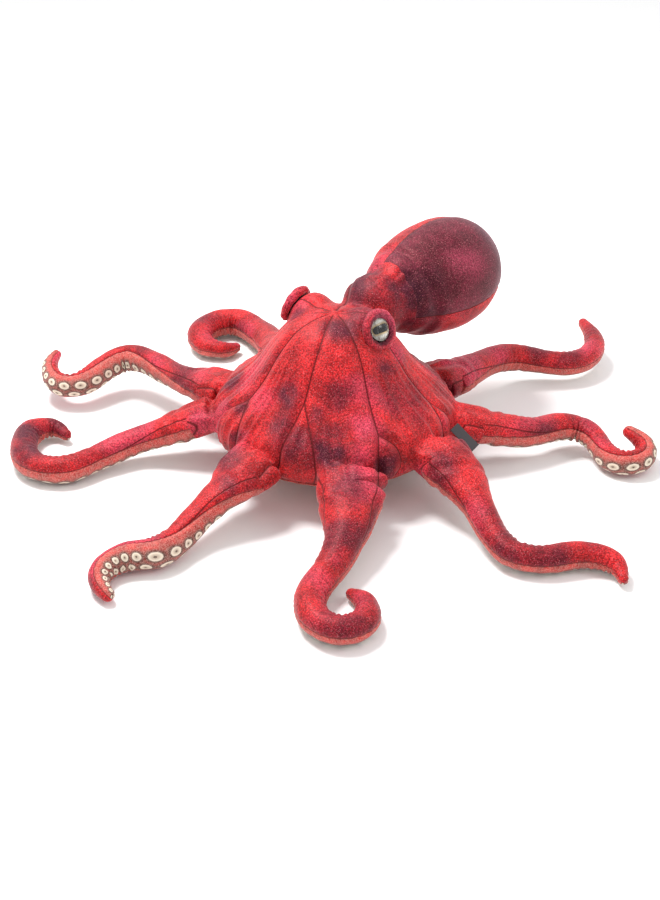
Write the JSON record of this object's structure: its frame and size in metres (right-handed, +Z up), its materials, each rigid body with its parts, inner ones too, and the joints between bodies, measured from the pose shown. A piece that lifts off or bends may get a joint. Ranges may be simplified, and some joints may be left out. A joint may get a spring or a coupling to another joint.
{
  "type": "octopus hand puppet",
  "caption": "Plush octopus hand puppet resting on spread stuffed arms that curl at their tips, with a bag-shaped mantle behind domed eyes and a hand opening underneath.",
  "frame": {"origin": "centre of the hand opening's mouth, on the surface that the puppet rests on", "axes": "+Z up; -Y towards arm 1 at the front; +X to the right, along the longest span of the arms"},
  "size_m": [0.6853, 0.6578, 0.2179],
  "materials": {
    "velour": "short velour pile, red, softly mottled",
    "dark_velour": "short velour pile, dark maroon",
    "printed_cloth": "smooth cloth printed with rings",
    "wadding": "loose white fibre fill",
    "lining": "plain woven lining",
    "ribbon": "plain dark ribbon",
    "clear_dome": "clear polished plastic",
    "iris_print": "metallic print",
    "black_plastic": "moulded",
    "washer_plastic": "moulded"
  },
  "bodies": {
    "skirt": {"body_gore_1": "velour", "body_gore_2": "velour", "body_gore_3": "velour", "body_gore_4": "velour", "body_gore_5": "velour", "body_gore_6": "velour", "body_gore_7": "velour", "body_gore_8": "velour", "body_padding": "wadding", "sleeve_hem": "lining", "hand_sleeve": "lining", "base_panel": "printed_cloth", "sewn_tag": "ribbon"},
    "head": {"head_panels": "velour", "head_stuffing": "wadding", "finger_pocket": "lining", "eye_turret_left": "velour", "eye_turret_right": "velour", "eyelid_left": "velour", "eyelid_right": "velour", "eye_domes": "clear_dome", "eye_irises": "iris_print", "eye_backs": "black_plastic", "eye_washers": "washer_plastic"},
    "mantle": {"mantle_panel_back": "dark_velour", "mantle_panel_right": "velour", "mantle_panel_left": "velour", "mantle_stuffing": "wadding"},
    "arm_1_root": {"arm_1_root_back": "velour", "arm_1_root_underside": "printed_cloth"},
    "arm_1_tip": {"arm_1_tip_back": "velour", "arm_1_tip_underside": "printed_cloth"},
    "arm_2_root": {"arm_2_root_back": "velour", "arm_2_root_underside": "printed_cloth"},
    "arm_2_tip": {"arm_2_tip_back": "velour", "arm_2_tip_underside": "printed_cloth"},
    "arm_3_root": {"arm_3_root_back": "velour", "arm_3_root_underside": "printed_cloth"},
    "arm_3_tip": {"arm_3_tip_back": "velour", "arm_3_tip_underside": "printed_cloth"},
    "arm_4_root": {"arm_4_root_back": "velour", "arm_4_root_underside": "printed_cloth"},
    "arm_4_tip": {"arm_4_tip_back": "velour", "arm_4_tip_underside": "printed_cloth"},
    "arm_5_root": {"arm_5_root_back": "velour", "arm_5_root_underside": "printed_cloth"},
    "arm_5_tip": {"arm_5_tip_back": "velour", "arm_5_tip_underside": "printed_cloth"},
    "arm_6_root": {"arm_6_root_back": "velour", "arm_6_root_underside": "printed_cloth"},
    "arm_6_tip": {"arm_6_tip_back": "velour", "arm_6_tip_underside": "printed_cloth"},
    "arm_7_root": {"arm_7_root_back": "velour", "arm_7_root_underside": "printed_cloth"},
    "arm_7_tip": {"arm_7_tip_back": "velour", "arm_7_tip_underside": "printed_cloth"},
    "arm_8_root": {"arm_8_root_back": "velour", "arm_8_root_underside": "printed_cloth"},
    "arm_8_tip": {"arm_8_tip_back": "velour", "arm_8_tip_underside": "printed_cloth"}
  },
  "joints": [
    {"name": "head_turn", "type": "hinge", "parent": "skirt", "child": "head", "pos_m": [0, 0, 0.118], "axis": [0, 0, 1], "range_deg": [-20, 20]},
    {"name": "mantle_nod", "type": "hinge", "parent": "head", "child": "mantle", "pos_m": [0.042, 0.054, 0.154], "axis": [0.7071, -0.7071, 0], "range_deg": [-2, 30]},
    {"name": "arm_1_lift", "type": "hinge", "parent": "skirt", "child": "arm_1_root", "pos_m": [0.014, -0.15, 0.046], "axis": [-0.9957, -0.0929, 0], "range_deg": [-40, 35]},
    {"name": "arm_1_curl", "type": "hinge", "parent": "arm_1_root", "child": "arm_1_tip", "pos_m": [-0.008, -0.245, 0.019], "axis": [-0.9062, 0.4229, 0], "range_deg": [-25, 35]},
    {"name": "arm_2_lift", "type": "hinge", "parent": "skirt", "child": "arm_2_root", "pos_m": [-0.092, -0.119, 0.047], "axis": [-0.7911, 0.6116, 0], "range_deg": [-40, 35]},
    {"name": "arm_2_curl", "type": "hinge", "parent": "arm_2_root", "child": "arm_2_tip", "pos_m": [-0.15, -0.188, 0.019], "axis": [-0.7615, 0.6481, 0], "range_deg": [-25, 35]},
    {"name": "arm_3_lift", "type": "hinge", "parent": "skirt", "child": "arm_3_root", "pos_m": [-0.15, -0.001, 0.044], "axis": [-0.0067, 1, 0], "range_deg": [-40, 35]},
    {"name": "arm_3_curl", "type": "hinge", "parent": "arm_3_root", "child": "arm_3_tip", "pos_m": [-0.25, -0.033, 0.017], "axis": [-0.5658, 0.8245, 0], "range_deg": [-25, 35]},
    {"name": "arm_4_lift", "type": "hinge", "parent": "skirt", "child": "arm_4_root", "pos_m": [-0.135, 0.066, 0.05], "axis": [0.4392, 0.8984, 0], "range_deg": [-40, 30]},
    {"name": "arm_4_curl", "type": "hinge", "parent": "arm_4_root", "child": "arm_4_tip", "pos_m": [-0.238, 0.15, 0.043], "axis": [-0.0204, 0.9998, 0], "range_deg": [-25, 35]},
    {"name": "arm_5_lift", "type": "hinge", "parent": "skirt", "child": "arm_5_root", "pos_m": [-0.058, 0.138, 0.046], "axis": [0.9219, 0.3875, 0], "range_deg": [-40, 35]},
    {"name": "arm_5_curl", "type": "hinge", "parent": "arm_5_root", "child": "arm_5_tip", "pos_m": [-0.097, 0.275, 0.019], "axis": [0.8128, 0.5825, 0], "range_deg": [-25, 35]},
    {"name": "arm_6_lift", "type": "hinge", "parent": "skirt", "child": "arm_6_root", "pos_m": [0.124, 0.084, 0.05], "axis": [0.5608, -0.8279, 0], "range_deg": [-40, 15]},
    {"name": "arm_6_curl", "type": "hinge", "parent": "arm_6_root", "child": "arm_6_tip", "pos_m": [0.214, 0.171, 0.033], "axis": [0.2084, -0.978, 0], "range_deg": [-25, 35]},
    {"name": "arm_7_lift", "type": "hinge", "parent": "skirt", "child": "arm_7_root", "pos_m": [0.149, -0.014, 0.046], "axis": [-0.0935, -0.9956, 0], "range_deg": [-40, 35]},
    {"name": "arm_7_curl", "type": "hinge", "parent": "arm_7_root", "child": "arm_7_tip", "pos_m": [0.26, 0.016, 0.026], "axis": [-0.3457, -0.9383, 0], "range_deg": [-25, 35]},
    {"name": "arm_8_lift", "type": "hinge", "parent": "skirt", "child": "arm_8_root", "pos_m": [0.113, -0.098, 0.048], "axis": [-0.6552, -0.7555, 0], "range_deg": [-40, 35]},
    {"name": "arm_8_curl", "type": "hinge", "parent": "arm_8_root", "child": "arm_8_tip", "pos_m": [0.168, -0.209, 0.016], "axis": [-0.5914, -0.8064, 0], "range_deg": [-25, 35]}
  ]
}
